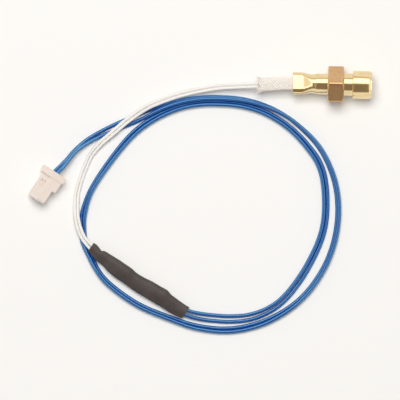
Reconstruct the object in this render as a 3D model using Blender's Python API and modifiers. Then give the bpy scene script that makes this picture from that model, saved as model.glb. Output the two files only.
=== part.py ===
"""A brass temperature probe with a spliced two-core lead and a small connector, lying flat. Metres, +Z up."""

import math

import bmesh
import bpy
from mathutils import Euler, Matrix, Vector

# Brass body, along X from the crimped mouth to the collar's end
HEX_ACROSS_FLATS = 0.0127
HEX_LENGTH = 0.0057
HEX_CHAMFER = 0.0005
COLLAR_DIAMETER = 0.0100
COLLAR_LENGTH = 0.0068
COLLAR_CHAMFER_LENGTH = 0.0010
COLLAR_CHAMFER_DEPTH = 0.0004
NECK_DIAMETER = 0.0080
NECK_LENGTH = 0.0032
TUBE_DIAMETER = 0.0074
TUBE_LENGTH = 0.0040
CRIMP_LENGTH = 0.0085
CRIMP_WAIST = 0.0067
CRIMP_WIDTH = 0.0080
CRIMP_THICKNESS = 0.0037
CRIMP_ROLL = math.radians(8)
BRASS_WALL = 0.0006
BORE_END_WALL = 0.0028
DRILL_POINT_LENGTH = 0.0008
MOUTH_EDGE = 0.00015

# Sensing end
SEAT_GAP = 0.0003
PLUG_LENGTH = 0.0060
PLUG_WALL = 0.0010
BEAD_GAP = 0.0005
LEG_DIAMETER = 0.0005
LEG_LENGTH = 0.0037
LEG_PITCH = 0.0012

# Leads
WHITE_LEAD_DIAMETER = 0.0011
BLUE_LEAD_DIAMETER = 0.0014
LEAD_GAP = 0.0002

# Woven sleeve
SLEEVE_WALL = 0.0003

# Splice
SPLICE_START = Vector((-0.08463, -0.06012, 0.0))
SPLICE_HEADING = math.radians(-33.4)
SHRINK_WALL = 0.00045
FERRULE_DIAMETER = 0.0016
FERRULE_LENGTH = 0.0050
FERRULE_GROOVE = 0.00015
SPLICE_SLEEVE_BORE = 0.00215
SPLICE_SLEEVE_WALL = 0.000225

# Connector, along its own X from the lead side to the mating side
HOUSING_REAR = Vector((-0.09775, -0.03370, 0.0))
HOUSING_HEADING = math.radians(238.2)
HOUSING_ROLL = math.radians(-30)
HOUSING_LENGTH = 0.0120
HOUSING_WIDTH = 0.0072
HOUSING_THICKNESS = 0.0050
FLANGE_LENGTH = 0.0024
FLANGE_WIDTH = 0.0082
FLANGE_TAB = 0.0011
FLANGE_STEP = 0.0003
STEP_START = 0.0065
STEP_DEPTH = 0.0015
NOSE_CHAMFER = 0.0008
HOUSING_EDGE = 0.00025
CAVITY_PITCH = 0.0025
CAVITY_WIDTH = 0.0019
CAVITY_HEIGHT = 0.0021
CAVITY_OFFSET = 0.0002
FRONT_WALL = 0.0012
PIN_ENTRY = 0.0012
WINDOW_START = 0.0046
WINDOW_LENGTH = 0.0024
WINDOW_WIDTH = 0.0015
LEAD_DEPTH = 0.0032
CONTACT_BOX_WIDTH = 0.0013
CONTACT_BOX_HEIGHT = 0.0015
CONTACT_BOX_LENGTH = 0.0042
CONTACT_WALL = 0.0002
CONTACT_NECK_LENGTH = 0.0010
CONTACT_NECK_THICKNESS = 0.0003
BARREL_LENGTH = 0.0020
BARREL_HEIGHT = 0.0011

# Worked out from the sizes above
AXIS_HEIGHT = HEX_ACROSS_FLATS / math.sqrt(3)
BODY_LENGTH = CRIMP_LENGTH + TUBE_LENGTH + HEX_LENGTH + NECK_LENGTH + COLLAR_LENGTH
MOUTH_X = -BODY_LENGTH / 2
TUBE_X = MOUTH_X + CRIMP_LENGTH
HEX_X = TUBE_X + TUBE_LENGTH
NECK_X = HEX_X + HEX_LENGTH
COLLAR_X = NECK_X + NECK_LENGTH
END_X = COLLAR_X + COLLAR_LENGTH
BORE_RADIUS = TUBE_DIAMETER / 2 - BRASS_WALL
PLUG_DIAMETER = 2 * (BORE_RADIUS - SEAT_GAP)
POCKET_DIAMETER = PLUG_DIAMETER - 2 * PLUG_WALL
BEAD_DIAMETER = POCKET_DIAMETER - 2 * BEAD_GAP
BORE_END_X = END_X - BORE_END_WALL
PLUG_END_X = BORE_END_X - SEAT_GAP
PLUG_X = PLUG_END_X - PLUG_LENGTH
POCKET_END_X = PLUG_END_X - SEAT_GAP * 2
BEAD_X = POCKET_END_X - SEAT_GAP - BEAD_DIAMETER / 2
LEG_END_X = BEAD_X - BEAD_DIAMETER / 2 - SEAT_GAP
LEAD_FRONT_X = LEG_END_X - LEG_LENGTH - SEAT_GAP

ROOT_DEPTH = HEX_LENGTH / 10
DRILL_TIP_RADIUS = BORE_RADIUS / 8

ROUND_STEPS = 36
SLEEVE_STEPS = 24
SLEEVE_SQUARENESS = 2.3
SHRINK_SQUARENESS = 2.4
LEAD_POINT_SPACING = 0.0085

# The crimp: share of its length back from the tube, how far it is drawn in to the waist, spread to the
# crimp's width, and flattened
CRIMP_SHAPE = [
    (0.00, 0.00, 0.00, 0.00),
    (0.10, 0.80, 0.00, 0.09),
    (0.19, 1.00, 0.00, 0.17),
    (0.31, 0.75, 0.10, 0.39),
    (0.45, 0.30, 0.30, 0.70),
    (0.59, 0.00, 0.80, 0.96),
    (0.71, 0.00, 1.00, 1.00),
    (1.00, 0.00, 1.00, 1.00),
]

# The woven sleeve: X, Y and Z of its middle, width, thickness and its share of the crimp's roll
SLEEVE_STATIONS = [
    (-0.0075, 0.0, AXIS_HEIGHT, 0.0040, 0.0026, 0.25),
    (-0.0105, 0.0, AXIS_HEIGHT, 0.0048, 0.0020, 0.94),
    (-0.0141, 0.0, AXIS_HEIGHT, 0.0048, 0.0020, 1.0),
    (-0.0160, -0.00005, AXIS_HEIGHT - 0.00005, 0.0048, 0.0026, 1.0),
    (-0.0200, -0.0003, AXIS_HEIGHT - 0.0003, 0.0049, 0.0031, 0.8),
    (-0.0250, -0.0008, AXIS_HEIGHT - 0.0008, 0.0050, 0.0034, 0.5),
    (-0.0263, -0.00095, AXIS_HEIGHT - 0.0009, 0.0052, 0.0036, 0.4),
]

# The heat-shrink: distance from its start, sideways shift, width, height, height of its middle
SHRINK_STATIONS = [
    (0.0, 0.0, 0.00375, 0.0025, 0.0026),
    (0.0018, -0.00025, 0.0041, 0.0026, 0.00255),
    (0.0036, -0.0007, 0.0042, 0.00265, 0.0025),
    (0.0047, -0.0007, 0.0044, 0.0028, 0.00245),
    (0.0072, -0.0006, 0.0049, 0.0035, 0.0022),
    (0.0093, -0.0008, 0.0056, 0.0041, 0.0021),
    (0.0125, -0.00095, 0.0061, 0.0042, 0.0021),
    (0.0165, -0.00095, 0.00605, 0.0042, 0.0021),
    (0.0186, -0.0011, 0.00585, 0.0040, 0.0021),
    (0.0222, -0.0010, 0.0061, 0.00405, 0.0021),
    (0.0250, -0.0007, 0.0064, 0.0042, 0.0021),
    (0.0286, -0.00045, 0.0064, 0.0042, 0.0021),
    (0.0314, -0.0002, 0.0063, 0.00415, 0.0021),
    (0.0332, -0.0004, 0.00575, 0.0035, 0.0021),
    (0.0360, -0.0004, 0.00555, 0.0031, 0.0021),
    (0.0393, -0.00025, 0.0052, 0.0030, 0.00205),
    (0.0412, 0.00015, 0.0047, 0.0029, 0.0020),
]

# Route of the white pair: X, Y and the height of its underside above the table, and in the sleeve its
# roll in degrees and how far its leads stand apart
WHITE_ROUTE = [
    (-0.0200, -0.0003, 0.0064, 6, 0), (-0.0263, -0.00095, 0.00582, 3, 0), (-0.0328, -0.0013, 0.0047),
    (-0.0400, -0.0019, 0.00365), (-0.0471, -0.0032, 0.0028), (-0.0542, -0.0050, 0.0022),
    (-0.0613, -0.0076, 0.0019), (-0.0662, -0.0100, 0.0018), (-0.0732, -0.0151, 0.00175),
    (-0.0775, -0.0190, 0.00185), (-0.0820, -0.0230, 0.0014), (-0.0853, -0.0271, 0.00045),
    (-0.0872, -0.0313, 0.0), (-0.0889, -0.0364, 0.0), (-0.0900, -0.0409, 0.0001),
    (-0.0902, -0.0453, 0.0007), (-0.0900, -0.0492, 0.00145), (-0.0891, -0.0531, 0.00175),
    (-0.0876, -0.0566, 0.0019),
]

# Route of the blue pair: X, Y, height of the lower lead's underside, roll of the pair in degrees,
# and how far its leads stand apart, from 0, side by side, to 1, at the connector's pitch
BLUE_ROUTE = [
    (-0.0480, -0.0833, 0.0009, 0, 0.35), (-0.0451, -0.0839, 0.00045, 0, 0.5), (-0.0404, -0.0844, 0.0001, 0, 0.55),
    (-0.0344, -0.0846, 0, 0, 0.55), (-0.0275, -0.0838, 0, 0, 0.4), (-0.0211, -0.0813, 0, 0, 0.2),
    (-0.0153, -0.0769, 0, 5, 0.1), (-0.0072, -0.0653, 0, 12, 0.05), (-0.0017, -0.0510, 0, 23, 0),
    (-0.0018, -0.0353, 0, 20, 0), (-0.0041, -0.0280, 0, 22, 0), (-0.0084, -0.0221, 0, 32, 0),
    (-0.0130, -0.0174, 0, 40, 0), (-0.0179, -0.0137, 0, 45, 0), (-0.0247, -0.0102, 0, 45, 0),
    (-0.0323, -0.0082, 0, 45, 0), (-0.0398, -0.0077, 0, 45, 0), (-0.0470, -0.0080, 0, 45, 0),
    (-0.0537, -0.0094, 0, 45, 0), (-0.0601, -0.01205, 0, 42, 0), (-0.0657, -0.0154, 0, 38, 0),
    (-0.0709, -0.0198, 0, 34, 0), (-0.0792, -0.0304, 0, 46, 0), (-0.0854, -0.0408, 0, 56, 0),
    (-0.0877, -0.0491, 0, 28, 0), (-0.0878, -0.0538, 0, 0, 0), (-0.0871, -0.0582, 0, -12, 0),
    (-0.0850, -0.0629, 0, -32, 0), (-0.0825, -0.0678, 0, -56, 0), (-0.0788, -0.0724, 0, -52, 0),
    (-0.0678, -0.0801, 0, -50, 0), (-0.0566, -0.0846, 0, -50, 0), (-0.0460, -0.0878, 0, -35, 0),
    (-0.0336, -0.0885, 0, -24, 0), (-0.0211, -0.0850, 0, -34, 0), (-0.0093, -0.0769, 0, -54, 0),
    (-0.0007, -0.0644, 0, -58, 0), (0.0031, -0.0504, 0, -58, 0), (0.0022, -0.0359, 0, -62, 0),
    (-0.0037, -0.0229, 0, -70, 0), (-0.0133, -0.0136, 0, -86, 0), (-0.0189, -0.0102, 0, -98, 0),
    (-0.0253, -0.0077, 0, -110, 0), (-0.0324, -0.0062, 0, -118, 0), (-0.0399, -0.0058, 0, -120, 0),
    (-0.0470, -0.0061, 0, -120, 0), (-0.0541, -0.0074, 0, -128, 0), (-0.0607, -0.0097, 0, -138, 0.1),
    (-0.0651, -0.0117, 0, -160, 0.3), (-0.0691, -0.0137, 0, -180, 0.5), (-0.0761, -0.0168, 0, -180, 0.6),
    (-0.0825, -0.0199, 0, -165, 0.15), (-0.0866, -0.0223, 0.0003, -143, 0), (-0.0909, -0.0258, 0.0012, -116, 0),
    (-0.09377, -0.02936, 0.0024, -114, 0.3), (-0.09558, -0.03160, 0.0029, -118, 0.8),
]

# Sideways place of each lead in the splice, at the given distances from its start
WHITE_1_IN_SPLICE = [
    (0.0, 0.00065), (0.0018, 0.00045), (0.0036, 0.0001), (0.0047, 0.0001), (0.0072, 0.00035),
    (0.0093, 0.00055), (0.0165, 0.00055), (0.0222, 0.00045), (0.0240, 0.0004), (0.0257, 0.0004),
]
WHITE_2_IN_SPLICE = [
    (0.0, -0.00065), (0.0018, -0.00085), (0.0036, -0.0012), (0.0047, -0.0012), (0.0072, -0.0014),
    (0.0100, -0.0016), (0.0117, -0.0016),
]
BLUE_1_IN_SPLICE = [(0.0313, 0.0004), (0.0332, 0.0004), (0.0360, 0.0005), (0.0393, 0.00075), (0.0412, 0.0011)]
BLUE_2_IN_SPLICE = [
    (0.0173, -0.0016), (0.0190, -0.0016), (0.0222, -0.00175), (0.0250, -0.00185), (0.0314, -0.00185),
    (0.0332, -0.0018), (0.0360, -0.0014), (0.0393, -0.00105), (0.0412, -0.0007),
]

# Start of each splice sleeve and barrel, the sideways place of both, and the sleeve's length
SPLICES = [
    (0.0240, 0.0260, 0.0004, 0.0085),
    (0.0100, 0.0120, -0.0016, 0.0090),
]


def clear_scene():
    for obj in list(bpy.data.objects):
        bpy.data.objects.remove(obj, do_unlink=True)


def new_collection(name):
    collection = bpy.data.collections.new(name)
    bpy.context.scene.collection.children.link(collection)
    return collection


clear_scene()
PARTS = new_collection("temperature_sensor")
CUTTERS = new_collection("cutters")


def finish(name, colour, roughness, metallic=0.0):
    """A plain surface for a sub-part."""
    material = bpy.data.materials.new(name)
    material.use_nodes = True
    shader = material.node_tree.nodes["Principled BSDF"]
    shader.inputs["Base Color"].default_value = (*colour, 1.0)
    shader.inputs["Roughness"].default_value = roughness
    shader.inputs["Metallic"].default_value = metallic
    material.diffuse_color = (*colour, 1.0)
    return material


def place(name, data, surface=None):
    """A sub-part where a surface is given, and a hidden cutter where none is."""
    obj = bpy.data.objects.new(name, data)
    if surface is None:
        CUTTERS.objects.link(obj)
        obj.hide_render = True
        obj.display_type = "WIRE"
    else:
        PARTS.objects.link(obj)
        data.materials.append(surface)
    return obj


def combine(obj, operation, *others, solver="EXACT"):
    for other in others:
        step = obj.modifiers.new(operation.lower() + "_" + other.name, "BOOLEAN")
        step.operation = operation
        step.object = other
        step.solver = solver


def along_x(obj, z=0.0, y=0.0):
    """Turns a shape made along its own Z to lie along X."""
    obj.rotation_euler = Euler((0, math.pi / 2, 0))
    obj.location = (0, y, z)
    return obj


def turned(name, profile, surface=None, steps=ROUND_STEPS):
    """A turned solid from (place along the axis, radius), listed from the +X end down its outside."""
    mesh = bpy.data.meshes.new(name)
    points = [(radius, 0, height) for height, radius in profile]
    mesh.from_pydata(points, [(i, i + 1) for i in range(len(points) - 1)], [])
    obj = place(name, mesh, surface)
    screw = obj.modifiers.new("turn", "SCREW")
    screw.steps = steps
    screw.render_steps = steps
    screw.use_merge_vertices = True
    screw.merge_threshold = 0.00002
    return obj


def ring(x, half_width, half_height, roll=0.0, y=0.0, z=0.0, squareness=None, points=ROUND_STEPS):
    """Points round a section: a flat oval with round sides, or a superellipse where a squareness is given.

    A roll lowers its +Y side.
    """
    found = []
    for i in range(points):
        turn = 2 * math.pi * (i + 0.5) / points
        across, up = math.cos(turn), math.sin(turn)
        if squareness:
            power = 2 / squareness
            across = math.copysign(abs(across) ** power, across) * half_width
            up = math.copysign(abs(up) ** power, up) * half_height
        else:
            flat = max(half_width - half_height, 0.0)
            across = math.copysign(flat, across) + (half_width - flat) * across
            up = up * half_height
        section = Matrix.Rotation(-roll, 2) @ Vector((across, up))
        found.append(Vector((x, y + section.x, z + section.y)))
    return found


def loft(name, rings, surface=None, capped=True):
    """A skin through sections with the same number of points, closed by flat ends where capped."""
    shape = bmesh.new()
    rows = [[shape.verts.new(point) for point in section] for section in rings]
    count = len(rows[0])
    for row, following in zip(rows, rows[1:]):
        for i in range(count):
            j = (i + 1) % count
            shape.faces.new((row[i], row[j], following[j], following[i]))
    if capped:
        shape.faces.new(rows[0])
        shape.faces.new(rows[-1])
    bmesh.ops.recalc_face_normals(shape, faces=shape.faces)
    mesh = bpy.data.meshes.new(name)
    shape.to_mesh(mesh)
    shape.free()
    mesh.shade_smooth()
    mesh.set_sharp_from_angle(angle=math.radians(35))
    return place(name, mesh, surface)


def box(name, start, end, surface=None):
    """A block between two opposite corners."""
    shape = bmesh.new()
    bmesh.ops.create_cube(shape, size=1.0)
    sizes = Vector(end) - Vector(start)
    middle = (Vector(end) + Vector(start)) / 2
    bmesh.ops.transform(shape, matrix=Matrix.Translation(middle) @ Matrix.Diagonal(sizes).to_4x4(), verts=shape.verts)
    mesh = bpy.data.meshes.new(name)
    shape.to_mesh(mesh)
    shape.free()
    return place(name, mesh, surface)


def plate(name, outline, thickness, surface=None):
    """A flat outline in its own XY plane, half of its thickness to each side."""
    curve = bpy.data.curves.new(name, "CURVE")
    curve.dimensions = "2D"
    curve.fill_mode = "BOTH"
    curve.extrude = thickness / 2
    spline = curve.splines.new("POLY")
    spline.points.add(len(outline) - 1)
    for point, (x, y) in zip(spline.points, outline):
        point.co = (x, y, 0, 1)
    spline.use_cyclic_u = True
    return solid_from_curve(name, curve, surface)


def solid_from_curve(name, curve, surface=None):
    """The curve's closed mesh, so that it can be cut or can cut."""
    guide = bpy.data.objects.new(name + "_outline", curve)
    CUTTERS.objects.link(guide)
    bpy.context.view_layer.update()
    graph = bpy.context.evaluated_depsgraph_get()
    mesh = bpy.data.meshes.new_from_object(guide.evaluated_get(graph))
    mesh.name = name
    shape = bmesh.new()
    shape.from_mesh(mesh)
    bmesh.ops.remove_doubles(shape, verts=shape.verts, dist=0.00001)
    bmesh.ops.recalc_face_normals(shape, faces=shape.faces)
    shape.to_mesh(mesh)
    shape.free()
    mesh.materials.clear()
    bpy.data.objects.remove(guide)
    return place(name, mesh, surface)


def smooth_points(points, spacing):
    """Points along a rounded curve through the given ones, no further apart than the spacing."""
    ends = [points[0] * 2 - points[1], *points, points[-1] * 2 - points[-2]]
    found = []
    for a, b, c, d in zip(ends, ends[1:], ends[2:], ends[3:]):
        ab, bc, cd = [math.sqrt((q - p).length) for p, q in ((a, b), (b, c), (c, d))]
        leave = (c - b) + ((b - a) / ab - (c - a) / (ab + bc)) * bc
        reach = (c - b) + ((d - c) / cd - (d - b) / (bc + cd)) * bc
        samples = 1 + int((c - b).length / spacing)
        for i in range(samples):
            t = i / samples
            found.append(
                b * (2 * t**3 - 3 * t**2 + 1)
                + leave * (t**3 - 2 * t**2 + t)
                + c * (3 * t**2 - 2 * t**3)
                + reach * (t**3 - t**2)
            )
    return found + [points[-1]]


def rod(name, points, diameter, surface, resolution=2):
    """A round wire through the points, closed at both ends."""
    curve = bpy.data.curves.new(name, "CURVE")
    curve.dimensions = "3D"
    curve.bevel_depth = diameter / 2
    curve.bevel_resolution = resolution
    curve.use_fill_caps = True
    spline = curve.splines.new("POLY")
    spline.points.add(len(points) - 1)
    for control, point in zip(spline.points, points):
        control.co = (*point, 1)
    return place(name, curve, surface)


def twin_points(route, diameter, side):
    """One lead of a pair that lies on the table. Side is 1 for the lead on the left of the way it runs, else -1."""
    found = []
    for i, (x, y, lift, *twist) in enumerate(route):
        roll, spread = (math.radians(twist[0]), twist[1]) if twist else (0.0, 0.0)
        before, after = route[max(i - 1, 0)], route[min(i + 1, len(route) - 1)]
        ahead = Vector((after[0] - before[0], after[1] - before[1], 0)).normalized()
        left = Vector((-ahead.y, ahead.x, 0))
        close = diameter + LEAD_GAP
        pitch = close + spread * (CAVITY_PITCH - close)
        middle = Vector((x, y, diameter / 2 + lift + abs(math.sin(roll)) * pitch / 2))
        aside = left * math.cos(roll) + Vector((0, 0, math.sin(roll)))
        found.append(middle + aside * (side * pitch / 2))
    return found


def shrink_height(distance):
    """Height of the heat-shrink's middle at a distance from its start."""
    for (start, _, _, _, low), (end, _, _, _, high) in zip(SHRINK_STATIONS, SHRINK_STATIONS[1:]):
        if distance <= end:
            return low + (high - low) * (distance - start) / (end - start)
    return SHRINK_STATIONS[-1][4]


SPLICE_FRAME = Matrix.Translation(SPLICE_START) @ Matrix.Rotation(SPLICE_HEADING, 4, "Z")


def splice_points(places):
    """Points in the splice, from (distance from its start, sideways place)."""
    return [SPLICE_FRAME @ Vector((distance, side, shrink_height(distance))) for distance, side in places]


def housing_frame():
    """The connector's own axes, tipped on the edge of its flange so that it just touches the table."""
    reach = HOUSING_THICKNESS / 2 + FLANGE_STEP
    height = FLANGE_WIDTH / 2 * math.cos(HOUSING_ROLL) - reach * math.sin(HOUSING_ROLL)
    lifted = HOUSING_REAR + Vector((0, 0, height))
    turn = Matrix.Rotation(HOUSING_HEADING, 4, "Z") @ Matrix.Rotation(HOUSING_ROLL, 4, "X")
    return Matrix.Translation(lifted) @ turn


HOUSING_FRAME = housing_frame()


def crimp_sections(inset):
    """(X, half width, half thickness, roll) from the mouth to the tube, drawn in by the inset."""
    found = []
    for back, waist, spread, flattening in reversed(CRIMP_SHAPE):
        drawn_in = (TUBE_DIAMETER - CRIMP_WAIST) * waist
        width = TUBE_DIAMETER - drawn_in + (CRIMP_WIDTH - TUBE_DIAMETER) * spread
        thickness = TUBE_DIAMETER + (CRIMP_THICKNESS - TUBE_DIAMETER) * flattening
        roll = CRIMP_ROLL * flattening
        found.append((TUBE_X - CRIMP_LENGTH * back, width / 2 - inset, thickness / 2 - inset, roll))
    return found


def make_sensor_body():
    brass = finish("brass", (0.72, 0.50, 0.22), 0.32, 1.0)
    sections = crimp_sections(0.0)
    _, mouth_width, mouth_height, roll = sections[0]
    sections[0] = (MOUTH_X + MOUTH_EDGE * 2, mouth_width, mouth_height, roll)
    sections.insert(0, (MOUTH_X, mouth_width - MOUTH_EDGE, mouth_height - MOUTH_EDGE, roll))
    sections.append((HEX_X + ROOT_DEPTH, TUBE_DIAMETER / 2, TUBE_DIAMETER / 2))
    body = loft("sensor_body", [ring(*section, z=AXIS_HEIGHT) for section in sections], brass)

    shape = bmesh.new()
    bmesh.ops.create_cone(
        shape,
        cap_ends=True,
        segments=6,
        radius1=AXIS_HEIGHT,
        radius2=AXIS_HEIGHT,
        depth=HEX_LENGTH,
        matrix=Matrix.Rotation(math.pi / 6, 4, "Z"),
    )
    mesh = bpy.data.meshes.new("hexagon")
    shape.to_mesh(mesh)
    shape.free()
    hexagon = along_x(place("hexagon", mesh), AXIS_HEIGHT)
    hexagon.location.x = HEX_X + HEX_LENGTH / 2

    face_radius = HEX_ACROSS_FLATS / 2 - HEX_CHAMFER / 3
    blank_radius = AXIS_HEIGHT * 1.02
    blank_slope = HEX_CHAMFER * (blank_radius - face_radius) / (AXIS_HEIGHT - face_radius)
    blank = turned(
        "hexagon_chamfer",
        [
            (NECK_X, 0),
            (NECK_X, face_radius),
            (NECK_X - blank_slope, blank_radius),
            (HEX_X + blank_slope, blank_radius),
            (HEX_X, face_radius),
            (HEX_X, 0),
        ],
    )
    along_x(blank, AXIS_HEIGHT)
    combine(hexagon, "INTERSECT", blank)

    collar_radius = COLLAR_DIAMETER / 2
    front = turned(
        "neck_and_collar",
        [
            (END_X, 0),
            (END_X, collar_radius - COLLAR_CHAMFER_DEPTH),
            (END_X - COLLAR_CHAMFER_LENGTH, collar_radius),
            (COLLAR_X + COLLAR_CHAMFER_DEPTH / 2, collar_radius),
            (COLLAR_X, collar_radius - COLLAR_CHAMFER_DEPTH / 2),
            (COLLAR_X, NECK_DIAMETER / 2),
            (NECK_X - ROOT_DEPTH, NECK_DIAMETER / 2),
            (NECK_X - ROOT_DEPTH, 0),
        ],
    )
    along_x(front, AXIS_HEIGHT)

    inner = crimp_sections(BRASS_WALL)
    inner.insert(0, (MOUTH_X - SEAT_GAP, *inner[0][1:]))
    inner.append((BORE_END_X, BORE_RADIUS, BORE_RADIUS))
    inner.append((BORE_END_X + DRILL_POINT_LENGTH, DRILL_TIP_RADIUS, DRILL_TIP_RADIUS))
    bore = loft("bore", [ring(*section, z=AXIS_HEIGHT) for section in inner])
    combine(body, "UNION", hexagon, front)
    combine(body, "DIFFERENCE", bore)


def make_sensing_end():
    resin = finish("potting", (0.03, 0.03, 0.035), 0.5)
    bead = finish("thermistor", (0.05, 0.035, 0.03), 0.35)
    wire = finish("tinned_wire", (0.7, 0.7, 0.68), 0.3, 1.0)
    plug_radius = PLUG_DIAMETER / 2
    pocket_radius = POCKET_DIAMETER / 2
    plug = turned(
        "potting_plug",
        [
            (PLUG_END_X + DRILL_POINT_LENGTH, 0),
            (PLUG_END_X + DRILL_POINT_LENGTH, DRILL_TIP_RADIUS),
            (PLUG_END_X, plug_radius),
            (PLUG_X, plug_radius),
            (PLUG_X, pocket_radius),
            (POCKET_END_X - pocket_radius / 2, pocket_radius),
            (POCKET_END_X, pocket_radius / 2),
            (POCKET_END_X, 0),
        ],
        resin,
        steps=SLEEVE_STEPS,
    )
    along_x(plug, AXIS_HEIGHT)

    shape = bmesh.new()
    bmesh.ops.create_uvsphere(shape, u_segments=16, v_segments=10, radius=BEAD_DIAMETER / 2)
    mesh = bpy.data.meshes.new("thermistor_bead")
    shape.to_mesh(mesh)
    shape.free()
    mesh.shade_smooth()
    along_x(place("thermistor_bead", mesh, bead), AXIS_HEIGHT).location.x = BEAD_X

    for number, side in ((1, 1), (2, -1)):
        y = side * LEG_PITCH / 2
        ends = [Vector((x, y, AXIS_HEIGHT)) for x in (LEG_END_X - LEG_LENGTH, LEG_END_X)]
        rod(f"thermistor_leg_{number}", ends, LEG_DIAMETER, wire)


def make_woven_sleeve():
    glass_fibre = finish("glass_fibre", (0.86, 0.82, 0.74), 0.75)
    rings = [
        ring(x, w / 2, h / 2, CRIMP_ROLL * share, y, z, SLEEVE_SQUARENESS, SLEEVE_STEPS)
        for x, y, z, w, h, share in SLEEVE_STATIONS
    ]
    sleeve = loft("glass_fibre_sleeve", rings, glass_fibre, capped=False)
    wall = sleeve.modifiers.new("wall", "SOLIDIFY")
    wall.thickness = SLEEVE_WALL
    wall.offset = -1


def make_leads():
    white = finish("white_braid", (0.9, 0.85, 0.78), 0.7)
    blue = finish("blue_insulation", (0.03, 0.11, 0.42), 0.35)
    white_pitch = WHITE_LEAD_DIAMETER + LEAD_GAP
    for number, side, white_end, blue_start in (
        (1, 1, WHITE_1_IN_SPLICE, BLUE_1_IN_SPLICE),
        (2, -1, WHITE_2_IN_SPLICE, BLUE_2_IN_SPLICE),
    ):
        # The probe faces +X and its leads run out along -X, so their left is on -Y
        inside = []
        for x, roll in ((LEAD_FRONT_X, 0.0), (TUBE_X, 0.0), (MOUTH_X, CRIMP_ROLL)):
            aside = Matrix.Rotation(-roll, 2) @ Vector((-side * white_pitch / 2, 0.0))
            inside.append(Vector((x, aside.x, AXIS_HEIGHT + aside.y)))
        route = inside + twin_points(WHITE_ROUTE, WHITE_LEAD_DIAMETER, side) + splice_points(white_end)
        rod(f"white_lead_{number}", smooth_points(route, LEAD_POINT_SPACING), WHITE_LEAD_DIAMETER, white)

        height = -side * CAVITY_PITCH / 2
        cavity = [HOUSING_FRAME @ Vector((x, CAVITY_OFFSET, height)) for x in (0, LEAD_DEPTH)]
        route = splice_points(blue_start) + twin_points(BLUE_ROUTE, BLUE_LEAD_DIAMETER, side) + cavity
        rod(f"blue_lead_{number}", smooth_points(route, LEAD_POINT_SPACING), BLUE_LEAD_DIAMETER, blue)


def make_splice():
    black = finish("heat_shrink", (0.07, 0.055, 0.05), 0.6)
    steel = finish("tinned_barrel", (0.6, 0.6, 0.58), 0.35, 1.0)
    clear = finish("splice_insulation", (0.75, 0.73, 0.68), 0.5)
    frame = bpy.data.objects.new("splice_frame", None)
    PARTS.objects.link(frame)
    frame.matrix_world = SPLICE_FRAME

    rings = [
        ring(s, w / 2, h / 2, 0.0, y, z, SHRINK_SQUARENESS, SLEEVE_STEPS) for s, y, w, h, z in SHRINK_STATIONS
    ]
    tube = loft("heat_shrink_tube", rings, black, capped=False)
    tube.parent = frame
    wall = tube.modifiers.new("wall", "SOLIDIFY")
    wall.thickness = SHRINK_WALL
    wall.offset = -1

    barrel = FERRULE_DIAMETER / 2
    groove = barrel - FERRULE_GROOVE
    bore = SPLICE_SLEEVE_BORE / 2
    outside = bore + SPLICE_SLEEVE_WALL
    for number, (sleeve_start, barrel_start, y, sleeve_length) in enumerate(SPLICES, 1):
        profile = [(FERRULE_LENGTH, 0), (FERRULE_LENGTH, groove), (FERRULE_LENGTH * 0.96, barrel)]
        for middle in (0.72, 0.28):
            profile += [
                (FERRULE_LENGTH * (middle + share), radius)
                for share, radius in ((0.12, barrel), (0.06, groove), (-0.06, groove), (-0.12, barrel))
            ]
        profile += [(FERRULE_LENGTH * 0.04, barrel), (0, groove), (0, 0)]
        ferrule = turned(f"splice_ferrule_{number}", profile, steel, steps=12)
        along_x(ferrule, shrink_height(barrel_start), y).location.x = barrel_start
        ferrule.parent = frame

        sleeve = turned(
            f"splice_sleeve_{number}",
            [(sleeve_length, bore), (sleeve_length, outside), (0, outside), (0, bore), (sleeve_length, bore)],
            clear,
            steps=16,
        )
        along_x(sleeve, shrink_height(barrel_start), y).location.x = sleeve_start
        sleeve.parent = frame


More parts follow.
